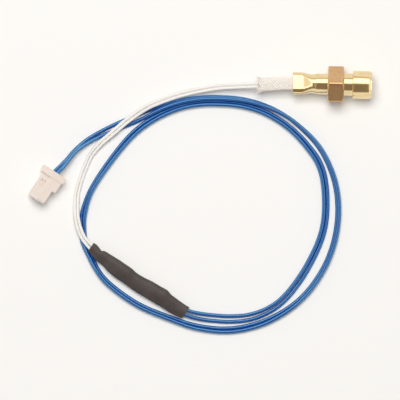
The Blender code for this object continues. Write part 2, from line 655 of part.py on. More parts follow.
def make_housing(frame):
    nylon = finish("ivory_nylon", (0.88, 0.80, 0.68), 0.4)
    half = HOUSING_THICKNESS / 2
    plan = [
        (0, -half - FLANGE_TAB),
        (FLANGE_LENGTH, -half - FLANGE_TAB),
        (FLANGE_LENGTH, -half),
        (HOUSING_LENGTH, -half),
        (HOUSING_LENGTH, half - STEP_DEPTH),
        (STEP_START, half - STEP_DEPTH),
        (STEP_START, half),
        (FLANGE_LENGTH, half),
        (FLANGE_LENGTH, half + FLANGE_STEP),
        (0, half + FLANGE_STEP),
    ]
    body = plate("connector_housing", plan, FLANGE_WIDTH, nylon)
    body.parent = frame

    wide = FLANGE_WIDTH / 2
    narrow = HOUSING_WIDTH / 2
    upper = [
        (0, wide),
        (FLANGE_LENGTH, wide),
        (FLANGE_LENGTH, narrow),
        (HOUSING_LENGTH - NOSE_CHAMFER, narrow),
        (HOUSING_LENGTH, narrow - NOSE_CHAMFER / 2),
    ]
    side_outline = upper + [(x, -z) for x, z in reversed(upper)]
    side = plate("housing_side", [(x, -z) for x, z in side_outline], HOUSING_THICKNESS * 2)
    side.rotation_euler = Euler((-math.pi / 2, 0, 0))
    side.parent = frame
    combine(body, "INTERSECT", side)
    edges = body.modifiers.new("moulded_edges", "BEVEL")
    edges.width = HOUSING_EDGE
    edges.segments = 1
    edges.limit_method = "ANGLE"
    edges.angle_limit = math.radians(50)

    for number, row in ((1, -1), (2, 1)):
        z = row * CAVITY_PITCH / 2
        cavity_end = HOUSING_LENGTH - FRONT_WALL
        cavity = box(
            f"cavity_{number}",
            (-SEAT_GAP, CAVITY_OFFSET - CAVITY_HEIGHT / 2, z - CAVITY_WIDTH / 2),
            (cavity_end, CAVITY_OFFSET + CAVITY_HEIGHT / 2, z + CAVITY_WIDTH / 2),
        )
        entry = box(
            f"pin_entry_{number}",
            (cavity_end - SEAT_GAP, CAVITY_OFFSET - PIN_ENTRY / 2, z - PIN_ENTRY / 2),
            (HOUSING_LENGTH + SEAT_GAP, CAVITY_OFFSET + PIN_ENTRY / 2, z + PIN_ENTRY / 2),
        )
        window = box(
            f"window_{number}",
            (WINDOW_START, -half - SEAT_GAP, z - WINDOW_WIDTH / 2),
            (WINDOW_START + WINDOW_LENGTH, CAVITY_OFFSET, z + WINDOW_WIDTH / 2),
        )
        for cutter in (cavity, entry, window):
            cutter.parent = frame
        combine(body, "DIFFERENCE", cavity, entry, window)


def make_contact(number, row, frame):
    tin = bpy.data.materials.get("tinned_contact") or finish("tinned_contact", (0.72, 0.7, 0.66), 0.3, 1.0)
    z = row * CAVITY_PITCH / 2
    barrel_start = LEAD_DEPTH + SEAT_GAP
    neck_start = barrel_start + BARREL_LENGTH
    box_start = neck_start + CONTACT_NECK_LENGTH
    box_end = box_start + CONTACT_BOX_LENGTH
    wide = CONTACT_BOX_WIDTH / 2
    tall = CONTACT_BOX_HEIGHT / 2
    floor = CAVITY_OFFSET + tall
    lap = CONTACT_WALL / 2

    contact = box(f"contact_{number}", (box_start, CAVITY_OFFSET - tall, z - wide), (box_end, floor, z + wide), tin)
    hollow = box(
        f"receptacle_{number}",
        (box_start + CONTACT_WALL, CAVITY_OFFSET - tall + CONTACT_WALL, z - wide + CONTACT_WALL),
        (box_end + CONTACT_WALL, floor - CONTACT_WALL, z + wide - CONTACT_WALL),
    )
    neck = box(
        f"contact_neck_{number}",
        (neck_start - lap, floor - CONTACT_NECK_THICKNESS, z - wide * 0.7),
        (box_start + lap, floor, z + wide * 0.7),
    )
    barrel = box(
        f"crimp_barrel_{number}",
        (barrel_start, floor - BARREL_HEIGHT, z - wide * 0.9),
        (neck_start, floor, z + wide * 0.9),
    )
    combine(contact, "UNION", neck, barrel)
    combine(contact, "DIFFERENCE", hollow)
    for piece in (contact, hollow, neck, barrel):
        piece.parent = frame


def make_connector():
    frame = bpy.data.objects.new("connector_frame", None)
    PARTS.objects.link(frame)
    frame.matrix_world = HOUSING_FRAME
    make_housing(frame)
    make_contact(1, -1, frame)
    make_contact(2, 1, frame)


make_sensor_body()
make_sensing_end()
make_woven_sleeve()
make_leads()
make_splice()
make_connector()
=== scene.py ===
"""The looks of a brass temperature probe and its spliced two-core lead on a pale table. Metres, +Z up."""

import math
import random

import bpy
from mathutils import Euler, Matrix, Vector, noise


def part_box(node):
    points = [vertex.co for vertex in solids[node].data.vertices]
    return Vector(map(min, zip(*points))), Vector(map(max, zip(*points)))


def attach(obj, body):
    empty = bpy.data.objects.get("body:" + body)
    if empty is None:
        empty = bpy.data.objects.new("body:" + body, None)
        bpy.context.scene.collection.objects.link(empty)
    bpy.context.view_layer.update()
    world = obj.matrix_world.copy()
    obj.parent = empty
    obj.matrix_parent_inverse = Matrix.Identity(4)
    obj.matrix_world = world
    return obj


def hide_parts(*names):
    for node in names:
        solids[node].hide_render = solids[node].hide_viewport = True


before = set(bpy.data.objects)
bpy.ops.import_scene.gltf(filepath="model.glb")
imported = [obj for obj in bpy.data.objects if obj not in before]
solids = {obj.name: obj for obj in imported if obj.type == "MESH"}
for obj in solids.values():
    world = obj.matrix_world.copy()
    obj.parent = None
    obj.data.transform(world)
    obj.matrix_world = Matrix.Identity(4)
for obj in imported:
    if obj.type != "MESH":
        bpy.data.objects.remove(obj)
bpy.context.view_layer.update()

# Camera. It looks straight down from far above, turned a little so that the probe lies as it does in
# the photograph, and its view is as wide on the table as 400 pixels at 2.8 pixels to the millimetre.
CAMERA_HEIGHT = 3.0
VIEW_MIDDLE = (-0.0461, -0.0424)
VIEW_WIDTH = 400 / 2800
VIEW_TURN = math.radians(1.4)

camera = bpy.data.objects.new("camera", bpy.data.cameras.new("camera"))
bpy.context.scene.collection.objects.link(camera)
camera.location = (*VIEW_MIDDLE, CAMERA_HEIGHT)
camera.rotation_euler = (0, 0, VIEW_TURN)
camera.data.sensor_width = 36
camera.data.lens = camera.data.sensor_width * CAMERA_HEIGHT / VIEW_WIDTH
camera.data.clip_end = 10
bpy.context.scene.camera = camera

# Blue leads. Two stranded leads in smooth extruded insulation, crimped into the splice at one end and
# into the connector at the other. They run nearly twice round as a pair, which twists as it goes.
BLUE_DIAMETER = 0.0014
BLUE_TOUCHING = 0.00143
BLUE_SIDES = 20
CONNECTOR_PITCH = 0.0025
# X and Y midway between the two, how far they are lifted off the table, the pair's roll in degrees, and how
# far it has spread from touching, 0, to the connector's pitch, 1
BLUE_ROUTE = [
    (-0.0480, -0.0833, 0.0009, 0, 0.35), (-0.0451, -0.0839, 0.00045, 0, 0.5),
    (-0.0404, -0.0844, 0.0001, 0, 0.55), (-0.0344, -0.0846, 0, 0, 0.55),
    (-0.0275, -0.0838, 0, 0, 0.4), (-0.0211, -0.0813, 0, 0, 0.2),
    (-0.0153, -0.0769, 0, 5, 0.1), (-0.0072, -0.0653, 0, 12, 0.05), (-0.0017, -0.0510, 0, 23, 0),
    (-0.0018, -0.0353, 0, 20, 0), (-0.0041, -0.0280, 0, 22, 0), (-0.0084, -0.0221, 0, 32, 0),
    (-0.0130, -0.0174, 0, 40, 0), (-0.0179, -0.0137, 0, 45, 0), (-0.0247, -0.0102, 0, 45, 0),
    (-0.0323, -0.0082, 0, 45, 0), (-0.0398, -0.0077, 0, 45, 0), (-0.0470, -0.0080, 0, 45, 0),
    (-0.0537, -0.0094, 0, 45, 0), (-0.0601, -0.01205, 0, 42, 0), (-0.0657, -0.0154, 0, 38, 0),
    (-0.0709, -0.0198, 0, 34, 0), (-0.0792, -0.0304, 0, 46, 0), (-0.0854, -0.0408, 0, 56, 0),
    (-0.0877, -0.0491, 0, 28, 0), (-0.0878, -0.0538, 0, 0, 0), (-0.0871, -0.0582, 0, -12, 0),
    (-0.0850, -0.0629, 0, -32, 0), (-0.0825, -0.0678, 0, -56, 0), (-0.0788, -0.0724, 0, -52, 0),
    (-0.0678, -0.0801, 0, -50, 0), (-0.0566, -0.0846, 0, -50, 0), (-0.0460, -0.0878, 0, -35, 0),
    (-0.0336, -0.0885, 0, -24, 0), (-0.0211, -0.0850, 0, -34, 0), (-0.0093, -0.0769, 0, -54, 0),
    (-0.0007, -0.0644, 0, -58, 0), (0.0031, -0.0504, 0, -58, 0), (0.0022, -0.0359, 0, -62, 0),
    (-0.0037, -0.0229, 0, -70, 0), (-0.0133, -0.0136, 0, -86, 0), (-0.0189, -0.0102, 0, -98, 0),
    (-0.0253, -0.0077, 0, -110, 0), (-0.0324, -0.0062, 0, -118, 0), (-0.0399, -0.0058, 0, -120, 0),
    (-0.0470, -0.0061, 0, -120, 0), (-0.0541, -0.0074, 0, -128, 0), (-0.0607, -0.0097, 0, -138, 0.1),
    (-0.0651, -0.0117, 0, -160, 0.3), (-0.0691, -0.0137, 0, -180, 0.5), (-0.0761, -0.0168, 0, -180, 0.6),
    (-0.0825, -0.0199, 0, -165, 0.15), (-0.0866, -0.0223, 0.0003, -143, 0),
    (-0.0909, -0.0258, 0.0012, -116, 0), (-0.09377, -0.02936, 0.0024, -114, 0.3),
    (-0.09558, -0.03160, 0.0029, -118, 0.8),
]
# How far along the splice, and how far to the left of its middle line
BLUE_1_IN_SPLICE = [(0.0313, 0.0004), (0.0332, 0.0004), (0.0360, 0.0005), (0.0393, 0.00075), (0.0412, 0.0011)]
BLUE_2_IN_SPLICE = [
    (0.0173, -0.0016), (0.0190, -0.0016), (0.0222, -0.00175), (0.0250, -0.00185), (0.0314, -0.00185),
    (0.0332, -0.0018), (0.0360, -0.0014), (0.0393, -0.00105), (0.0412, -0.0007),
]
SPLICE_START = Vector((-0.08463, -0.06012, 0.0))
SPLICE_HEADING = math.radians(-33.4)
SPLICE_FRAME = Matrix.Translation(SPLICE_START) @ Matrix.Rotation(SPLICE_HEADING, 4, "Z")
# How far along the splice, and the height of its middle there
SPLICE_HEIGHTS = [
    (0.0, 0.0026), (0.0018, 0.00255), (0.0036, 0.0025), (0.0047, 0.00245), (0.0072, 0.0022),
    (0.0093, 0.0021), (0.0360, 0.0021), (0.0393, 0.00205), (0.0412, 0.0020),
]
CONNECTOR_REAR = Vector((-0.09775, -0.03370, 0.00495))
CONNECTOR_HEADING = math.radians(238.2)
CONNECTOR_ROLL = math.radians(-30)
CONNECTOR_FRAME = (
    Matrix.Translation(CONNECTOR_REAR)
    @ Matrix.Rotation(CONNECTOR_HEADING, 4, "Z")
    @ Matrix.Rotation(CONNECTOR_ROLL, 4, "X")
)
CAVITY_OFFSET = 0.0002
LEAD_DEPTH_IN_CAVITY = 0.0032


class Field:
    """A value that changes over a surface. Operators on it add Math nodes to its finish."""

    def __init__(self, finish, socket):
        self.finish = finish
        self.socket = socket

    def __add__(self, other):
        return self.finish.maths("ADD", self, other)

    def __sub__(self, other):
        return self.finish.maths("SUBTRACT", self, other)

    def __rsub__(self, other):
        return self.finish.maths("SUBTRACT", other, self)

    def __mul__(self, other):
        return self.finish.maths("MULTIPLY", self, other)

    def __gt__(self, other):
        return self.finish.maths("GREATER_THAN", self, other)

    def __lt__(self, other):
        return self.finish.maths("LESS_THAN", self, other)


class Finish:
    """The nodes of a surface or of the world: fixed values sit on its shader, and fields feed what varies."""

    def __init__(self, tree, shader, fixed):
        self.tree = tree
        self.shader = tree.nodes[shader]
        for socket, value in fixed.items():
            self.shader.inputs[socket].default_value = value

    def node(self, kind, settings, sockets, output=0):
        """Any node: its settings are set first, then the values or links of its sockets."""
        made = self.tree.nodes.new(kind)
        for setting, value in settings.items():
            setattr(made, setting, value)
        for socket, value in sockets.items():
            self.fill(made.inputs[socket], value)
        return Field(self, made.outputs[output])

    def fill(self, socket, value):
        if isinstance(value, Field):
            self.tree.links.new(value.socket, socket)
        else:
            socket.default_value = value

    def feed(self, **fields):
        for socket, field in fields.items():
            self.fill(self.shader.inputs[socket.replace("_", " ")], field)

    def maths(self, operation, *values):
        return self.node("ShaderNodeMath", {"operation": operation}, dict(enumerate(values)))

    def place(self, kind="Object"):
        return self.node("ShaderNodeTexCoord", {}, {}, kind)

    def axis(self, vector, name):
        return self.node("ShaderNodeSeparateXYZ", {}, {0: vector}, name)

    def stretched(self, vector, scales):
        return self.node("ShaderNodeVectorMath", {"operation": "MULTIPLY"}, {0: vector, 1: scales})

    def noise(self, vector, scale, detail=2.0):
        return self.node("ShaderNodeTexNoise", {}, {"Vector": vector, "Scale": scale, "Detail": detail})

    def mixed(self, factor, low, high):
        """A colour between two, each written as red, green and blue or given as a field."""
        low, high = [value if isinstance(value, Field) else (*value, 1.0) for value in (low, high)]
        return self.node("ShaderNodeMix", {"data_type": "RGBA"}, {0: factor, 6: low, 7: high}, 2)

    def ramp(self, value, start, end):
        """Rises smoothly from 0 to 1 while the value goes from start to end."""
        settings = {"interpolation_type": "SMOOTHSTEP"}
        return self.node("ShaderNodeMapRange", settings, {0: value, 1: start, 2: end})

    def bump(self, height, distance):
        return self.node("ShaderNodeBump", {}, {"Height": height, "Distance": distance})

    def ray(self, kind):
        """1 where a ray of the kind looks, else 0."""
        return self.node("ShaderNodeLightPath", {}, {}, f"Is {kind} Ray")


def new_finish(name, **fixed):
    material = bpy.data.materials.new(name)
    material.use_nodes = True
    sockets = {socket.replace("_", " "): value for socket, value in fixed.items()}
    finish = Finish(material.node_tree, "Principled BSDF", sockets)
    finish.material = material
    return finish


def smooth_points(points, spacing):
    """Points along a rounded curve through the given ones, about the spacing apart or closer."""
    ends = [points[0] * 2 - points[1], *points, points[-1] * 2 - points[-2]]
    found = []
    for a, b, c, d in zip(ends, ends[1:], ends[2:], ends[3:]):
        ab, bc, cd = [math.sqrt((q - p).length) for p, q in ((a, b), (b, c), (c, d))]
        leave = (c - b) + ((b - a) / ab - (c - a) / (ab + bc)) * bc
        reach = (c - b) + ((d - c) / cd - (d - b) / (bc + cd)) * bc
        samples = 1 + int((c - b).length / spacing)
        for i in range(samples):
            t = i / samples
            found.append(
                b * (2 * t**3 - 3 * t**2 + 1)
                + leave * (t**3 - 2 * t**2 + t)
                + c * (3 * t**2 - 2 * t**3)
                + reach * (t**3 - t**2)
            )
    return found + [points[-1]]


def between(table, place):
    """Reads a table of rows that start with a place, with straight lines between them."""
    for low, high in zip(table, table[1:]):
        if place <= high[0]:
            share = (place - low[0]) / (high[0] - low[0])
            return [a + (b - a) * share for a, b in zip(low[1:], high[1:])]
    return list(table[-1][1:])


def twin_points(route, diameter, touching, side):
    """One lead of a pair on the table. Side is 1 for the lead on the left of the way it runs, else -1."""
    found = []
    for i, (x, y, lift, *twist) in enumerate(route):
        roll, spread = (math.radians(twist[0]), twist[1]) if twist else (0.0, 0.0)
        before, after = route[max(i - 1, 0)], route[min(i + 1, len(route) - 1)]
        ahead = Vector((after[0] - before[0], after[1] - before[1], 0)).normalized()
        left = Vector((-ahead.y, ahead.x, 0))
        pitch = touching + spread * (CONNECTOR_PITCH - touching)
        middle = Vector((x, y, diameter / 2 + lift + abs(math.sin(roll)) * pitch / 2))
        aside = left * math.cos(roll) + Vector((0, 0, math.sin(roll)))
        found.append(middle + aside * (side * pitch / 2))
    return found


def splice_points(places):
    """Points inside the splice, from how far along it and how far to its left each one is."""
    return [SPLICE_FRAME @ Vector((along, side, between(SPLICE_HEIGHTS, along)[0])) for along, side in places]


def skin(name, rows, lengths, material, closed=True):
    """A mesh through rings of points, with UVs in millimetres along and from 0 to 1 round."""
    count = len(rows[0])
    points = [point for row in rows for point in row]
    faces = []
    places = []
    for r in range(len(rows) - 1):
        for i in range(count):
            j = (i + 1) % count
            faces.append((r * count + i, r * count + j, (r + 1) * count + j, (r + 1) * count + i))
            near, far = lengths[r] * 1000, lengths[r + 1] * 1000
            low, high = i / count, (i + 1) / count
            places += [(near, low), (near, high), (far, high), (far, low)]
    if closed:
        for row, start in ((0, 0), (-1, len(points) - count)):
            end = [start + i for i in range(count)]
            faces.append(end[::-1] if row == 0 else end)
            places += [(lengths[row] * 1000, i / count) for i in range(count)]
    mesh = bpy.data.meshes.new(name)
    mesh.from_pydata(points, [], faces)
    layer = mesh.uv_layers.new(name="around")
    layer.data.foreach_set("uv", [value for place in places for value in place])
    mesh.materials.append(material)
    mesh.shade_smooth()
    mesh.set_sharp_from_angle(angle=math.radians(40))
    piece = bpy.data.objects.new(name, mesh)
    bpy.context.scene.collection.objects.link(piece)
    return piece


def rings_along(path, radius, sides):
    """Rings square to the path, carried along it without twisting, and how far along each one is."""
    across = Vector((0, 0, 1))
    rows = []
    lengths = [0.0]
    for i, point in enumerate(path):
        ahead = (path[min(i + 1, len(path) - 1)] - path[max(i - 1, 0)]).normalized()
        across = (across - ahead * across.dot(ahead)).normalized()
        other = ahead.cross(across)
        turns = [2 * math.pi * k / sides for k in range(sides)]
        rows.append([point + (across * math.cos(turn) + other * math.sin(turn)) * radius for turn in turns])
        if i:
            lengths.append(lengths[-1] + (point - path[i - 1]).length)
    return rows, lengths


def lead(name, controls, diameter, sides, material):
    """A round lead on a smooth curve through its points, kept on or above the table, its path and length."""
    path = smooth_points(controls, diameter)
    for point in path:
        point.z = max(point.z, diameter / 2)
    rows, lengths = rings_along(path, diameter / 2, sides)
    return skin(name, rows, lengths, material), path, lengths[-1]


def blue_insulation():
    """Glossy extruded plastic with faint streaks along the lead."""
    finish = new_finish(
        "blue_insulation", IOR=1.9, Specular_IOR_Level=1.0, Specular_Tint=(0.38, 0.87, 1.0, 1.0)
    )
    streaks = finish.noise(finish.stretched(finish.place("UV"), (0.06, 6.0, 0.0)), 3.0)
    grain = finish.noise(finish.place(), 2600.0, 3.0)
    finish.feed(
        Base_Color=finish.mixed(streaks * 1.4 - 0.2, (0.0, 0.034, 0.25), (0.0, 0.055, 0.34)),
        Roughness=grain * 0.08 + 0.12,
        Normal=finish.bump(streaks * 0.6 + grain * 0.4, 0.000008),
    )
    return finish.material


blue = blue_insulation()
for number, side, start in ((1, 1, BLUE_1_IN_SPLICE), (2, -1, BLUE_2_IN_SPLICE)):
    controls = splice_points(start) + twin_points(BLUE_ROUTE, BLUE_DIAMETER, BLUE_TOUCHING, side)
    for depth in (0, LEAD_DEPTH_IN_CAVITY):
        controls.append(CONNECTOR_FRAME @ Vector((depth, CAVITY_OFFSET, -side * CONNECTOR_PITCH / 2)))
    piece, path, length = lead(f"blue_lead_{number}_insulation", controls, BLUE_DIAMETER, BLUE_SIDES, blue)
    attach(piece, "root")
    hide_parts(f"blue_lead_{number}")

# White leads. The heat-proof leads of the thermistor, stranded wire under a varnished glass braid. They
# leave the crimped mouth through the woven sleeve, cross over the blue pair twice and enter the splice.
WHITE_DIAMETER = 0.0011
WHITE_TOUCHING = 0.00115
WHITE_SIDES = 16
RIBS_ROUND = 8
RIB_RADIANS_PER_MM = 9.0
CRIMP_ROLL = math.radians(8)
# X along the body's axis, and the pair's roll about it
WHITE_IN_BODY = ((0.0034, 0.0), (-0.0056, 0.0), (-0.0141, CRIMP_ROLL))
# As the blue route, with no roll and touching where those two are left out
WHITE_ROUTE = [
    (-0.0200, -0.0003, 0.0064, 6, 0), (-0.0263, -0.00095, 0.00582, 3, 0), (-0.0328, -0.0013, 0.0047),
    (-0.0400, -0.0019, 0.00365), (-0.0471, -0.0032, 0.0028), (-0.0542, -0.0050, 0.0022),
    (-0.0613, -0.0076, 0.0019), (-0.0662, -0.0100, 0.0018), (-0.0732, -0.0151, 0.00175),
    (-0.0775, -0.0190, 0.00185), (-0.0820, -0.0230, 0.0014), (-0.0853, -0.0271, 0.00045),
    (-0.0872, -0.0313, 0.0), (-0.0889, -0.0364, 0.0), (-0.0900, -0.0409, 0.0001),
    (-0.0902, -0.0453, 0.0007), (-0.0900, -0.0492, 0.00145), (-0.0891, -0.0531, 0.00175),
    (-0.0876, -0.0566, 0.0019),
]
WHITE_1_IN_SPLICE = [
    (0.0, 0.00065), (0.0018, 0.00045), (0.0036, 0.0001), (0.0047, 0.0001), (0.0072, 0.00035),
    (0.0093, 0.00055), (0.0165, 0.00055), (0.0222, 0.00045), (0.0240, 0.0004), (0.0257, 0.0004),
]
WHITE_2_IN_SPLICE = [
    (0.0, -0.00065), (0.0018, -0.00085), (0.0036, -0.0012), (0.0047, -0.0012), (0.0072, -0.0014),
    (0.0100, -0.0016), (0.0117, -0.0016),
]
BODY_LOW, BODY_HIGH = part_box("sensor_body")
AXIS_HEIGHT = (BODY_LOW.z + BODY_HIGH.z) / 2


def white_braid():
    """Plaits of glass thread: ribs that cross, eight round the lead each way, with painted shade in the
    grooves.
    """
    finish = new_finish("white_braid")
    along = finish.axis(finish.place("UV"), "X") * RIB_RADIANS_PER_MM
    around = finish.axis(finish.place("UV"), "Y") * (RIBS_ROUND * 2 * math.pi)
    one_way = finish.maths("SINE", along + around)
    other_way = finish.maths("SINE", along - around)
    ribs_and_groove_shade = finish.maths("MAXIMUM", one_way, other_way) * 0.5 + 0.5
    stain = finish.noise(finish.place(), 160.0, 3.0)
    finish.feed(
        # The colour is lighter on the ribs and darker in the grooves between them, which is painted shade.
        # The stain is the braid's own.
        Base_Color=finish.mixed(ribs_and_groove_shade * 0.6 + stain * 0.5 - 0.05, (0.86, 0.81, 0.74), (0.985, 0.965, 0.93)),
        Roughness=0.72 - ribs_and_groove_shade * 0.12,
        Normal=finish.bump(ribs_and_groove_shade, 0.00005),
    )
    return finish.material


braid = white_braid()
for number, side, end in ((1, 1, WHITE_1_IN_SPLICE), (2, -1, WHITE_2_IN_SPLICE)):
    controls = []
    for x, roll in WHITE_IN_BODY:
        aside = Matrix.Rotation(-roll, 2) @ Vector((-side * WHITE_TOUCHING / 2, 0.0))
        controls.append(Vector((x, aside.x, AXIS_HEIGHT + aside.y)))
    controls += twin_points(WHITE_ROUTE, WHITE_DIAMETER, WHITE_TOUCHING, side) + splice_points(end)
    piece, path, length = lead(f"white_lead_{number}_braid", controls, WHITE_DIAMETER, WHITE_SIDES, braid)
    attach(piece, "root")
    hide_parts(f"white_lead_{number}")

# Brass body. One turning from hexagon bar: a chamfered collar at the sensing end, a neck, the spanner
# hexagon, and a thin tail tube whose mouth is pressed flat on the sleeve, a little askew, to hold the leads.
RING_POINTS = 144
WALL = 0.0006
COLLAR_LENGTH = 0.0068
NECK_LENGTH = 0.0032
HEX_LENGTH = 0.0057
TUBE_LENGTH = 0.0040
MOUTH_X, END_X = BODY_LOW.x, BODY_HIGH.x
COLLAR_X = END_X - COLLAR_LENGTH
NECK_X = COLLAR_X - NECK_LENGTH
HEX_X = NECK_X - HEX_LENGTH
TUBE_X = HEX_X - TUBE_LENGTH
CRIMP_LENGTH = TUBE_X - MOUTH_X
HEX_FLAT = AXIS_HEIGHT * math.sqrt(3) / 2
HEX_CHAMFER = 0.0005
HEX_ROUNDING = 0.0006
COLLAR_RADIUS = 0.0050
COLLAR_CHAMFER = 0.0004
CHAMFER_LENGTH = 0.0010
CHAMFER_BREAK_LENGTH = 0.00005
CHAMFER_BREAK = 0.00002
NECK_RADIUS = 0.0040
TUBE_RADIUS = 0.0037
BORE_TO_END = 0.0028
DRILL_POINT = 0.0008
END_RING_RADIUS = 0.0012
PIN_RADIUS = 0.00002
EDGE = 0.00012
EDGE_STEPS = 4
CHAMFER_STEPS = 12
BAR_MARGIN = 0.00005
# Share of the crimp's length from the tube, half of its width, half of its thickness and share of its roll
CRIMP = [
    (0.00, 0.00370, 0.00370, 0.00), (0.10, 0.00342, 0.00353, 0.09), (0.19, 0.00335, 0.00339, 0.17),
    (0.31, 0.00347, 0.00298, 0.39), (0.45, 0.00369, 0.00241, 0.70), (0.59, 0.00394, 0.00192, 0.96),
    (0.71, 0.00400, 0.00185, 1.00), (1.00, 0.00400, 0.00185, 1.00),
]


def smooth_table(table, steps):
    """Rows read off a rounded curve through a table's rows, with even steps."""
    ends = [table[0], *table, table[-1]]
    found = []
    for a, b, c, d in zip(ends, ends[1:], ends[2:], ends[3:]):
        for i in range(steps):
            t = i / steps
            row = []
            for p, q, r, s in zip(a, b, c, d):
                square, cube = 2 * p - 5 * q + 4 * r - s, 3 * q - p - 3 * r + s
                row.append(0.5 * (2 * q + (r - p) * t + square * t**2 + cube * t**3))
            found.append(row)
    return found + [list(table[-1])]


def oval(x, half_width, half_height, roll=0.0):
    """A ring of the body, flat above and below with round sides, or round where both halves are equal."""
    found = []
    for i in range(RING_POINTS):
        turn = 2 * math.pi * (i + 0.5) / RING_POINTS
        flat = max(half_width - half_height, 0.0)
        across = math.copysign(flat, math.cos(turn)) + (half_width - flat) * math.cos(turn)
        section = Matrix.Rotation(-roll, 2) @ Vector((across, half_height * math.sin(turn)))
        found.append(Vector((x, section.x, AXIS_HEIGHT + section.y)))
    return found


def hex_ring(x, limit):
    """A ring of the hexagon bar with its corners rounded, cut back to a circle of the limit's radius."""
    heart = (HEX_FLAT - HEX_ROUNDING) / math.cos(math.pi / 6)
    reach = math.atan2(HEX_ROUNDING / 2, heart + HEX_ROUNDING * math.cos(math.pi / 6))
    found = []
    for i in range(RING_POINTS):
        turn = 2 * math.pi * (i + 0.5) / RING_POINTS
        from_flat = (turn + math.pi / 6) % (math.pi / 3) - math.pi / 6
        from_corner = math.pi / 6 - abs(from_flat)
        radius = HEX_FLAT / math.cos(from_flat)
        if from_corner < reach:
            off_heart = heart * math.sin(from_corner)
            radius = heart * math.cos(from_corner) + math.sqrt(HEX_ROUNDING**2 - off_heart**2)
        radius = min(radius, limit)
        found.append(Vector((x, radius * math.cos(turn), AXIS_HEIGHT + radius * math.sin(turn))))
    return found


def turned_rings(profile):
    """Round rings, one for each x and radius."""
    return [oval(x, radius, radius) for x, radius in profile]


def rounded_edge(x, radius, toward):
    """(x, radius) round the outer edge of a face at x, whose wall runs on toward +X or -X."""
    turns = [math.pi / 2 * i / EDGE_STEPS for i in range(EDGE_STEPS + 1)]
    return [
        (x + toward * EDGE * (1 - math.cos(turn)), radius - EDGE * (1 - math.sin(turn))) for turn in turns
    ]


def crimp_rings(inset):
    """Rings from the tube to the mouth, drawn in by the inset."""
    table = smooth_table(CRIMP, steps=6)
    return [
        oval(TUBE_X - CRIMP_LENGTH * share, wide - inset, high - inset, CRIMP_ROLL * roll)
        for share, wide, high, roll in table
    ]


def hexagon_rings():
    """Rings of the hexagon, from one chamfered end to the other."""
    face = HEX_FLAT - HEX_CHAMFER / 3
    depth = AXIS_HEIGHT - face
    shares = [i / CHAMFER_STEPS for i in range(CHAMFER_STEPS + 1)]
    chamfer = [(HEX_CHAMFER * share, face + depth * share) for share in shares]
    return [hex_ring(HEX_X + back, limit) for back, limit in chamfer] + [
        hex_ring(NECK_X - back, limit) for back, limit in reversed(chamfer)
    ]


def brass_rings():
    """Rings of the whole body: the bore from its drilled end to the mouth, then the outside from there on."""
    bore_x = END_X - BORE_TO_END
    bore = turned_rings([(bore_x + DRILL_POINT, PIN_RADIUS), (bore_x, TUBE_RADIUS - WALL)])
    inside = bore + crimp_rings(WALL)
    outside = crimp_rings(0.0)[::-1]
    _, wide, high, _ = CRIMP[-1]
    lip = [
        oval(MOUTH_X, wide - WALL + EDGE / 2, high - WALL + EDGE / 2, CRIMP_ROLL),
        oval(MOUTH_X, wide - EDGE, high - EDGE, CRIMP_ROLL),
        oval(MOUTH_X + EDGE / 3, wide - EDGE / 3, high - EDGE / 3, CRIMP_ROLL),
        oval(MOUTH_X + EDGE, wide, high, CRIMP_ROLL),
    ]
    tail = turned_rings([(HEX_X - EDGE, TUBE_RADIUS), (HEX_X, TUBE_RADIUS + EDGE)])
    neck = [(NECK_X, NECK_RADIUS + EDGE), (NECK_X + EDGE, NECK_RADIUS), (COLLAR_X - EDGE, NECK_RADIUS)]
    neck.append((COLLAR_X, NECK_RADIUS + EDGE))
    chamfer_x = END_X - CHAMFER_LENGTH
    collar = rounded_edge(COLLAR_X, COLLAR_RADIUS, 1) + [(chamfer_x - CHAMFER_BREAK_LENGTH, COLLAR_RADIUS)]
    collar += [(chamfer_x, COLLAR_RADIUS - CHAMFER_BREAK)]
    collar += rounded_edge(END_X, COLLAR_RADIUS - COLLAR_CHAMFER, -1)[::-1]
    end = [(END_X, END_RING_RADIUS), (END_X, PIN_RADIUS)]
    return inside + lip + outside[1:] + tail + hexagon_rings() + turned_rings(neck + collar + end)


def brass():
    """Bright turned brass with fine rings, and on the hexagon the duller drawn skin of the bar, darkened
    further with painted shade.
    """
    finish = new_finish("brass", Metallic=1.0)
    place = finish.place()
    x = finish.axis(place, "X")
    bar = (x > HEX_X + BAR_MARGIN) * (x < NECK_X - BAR_MARGIN)
    rings = finish.noise(finish.stretched(place, (1.0, 0.02, 0.02)), 9000.0)
    grain = finish.noise(finish.stretched(place, (0.35, 1.0, 1.0)), 3800.0, 3.0)
    stain = finish.noise(place, 260.0, 4.0)
    turned = finish.mixed(stain * 1.8 - 0.4, (0.80, 0.62, 0.34), (0.90, 0.73, 0.44))
    # The hexagon's darker colour is partly the duller drawn skin of the bar and partly painted shade,
    # standing in for the shadowed table that its lower flat mirrors.
    drawn_skin_and_shade = finish.mixed(grain * 1.8 - 0.4, (0.54, 0.335, 0.175), (0.72, 0.475, 0.26))
    finish.feed(
        Base_Color=finish.mixed(bar, turned, drawn_skin_and_shade),
        Roughness=rings * 0.10 + stain * 0.08 + bar * 0.13 + 0.08,
        Normal=finish.bump(rings * (1 - bar) * 0.5 + grain * bar, 0.000012),
    )
    return finish.material


rows = brass_rings()
brass_piece = skin("turned_brass_body", rows, [row[0].x for row in rows], brass())
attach(brass_piece, "root")
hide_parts("sensor_body")

# Inner pieces. The thermistor bead sits on its two tinned wires in a plug of dark resin at the blind end of
# the bore. Tinned barrels under short tubes join the leads in the splice, and tinned contacts grip the blue
# ones in the connector. Little of this shows from outside.


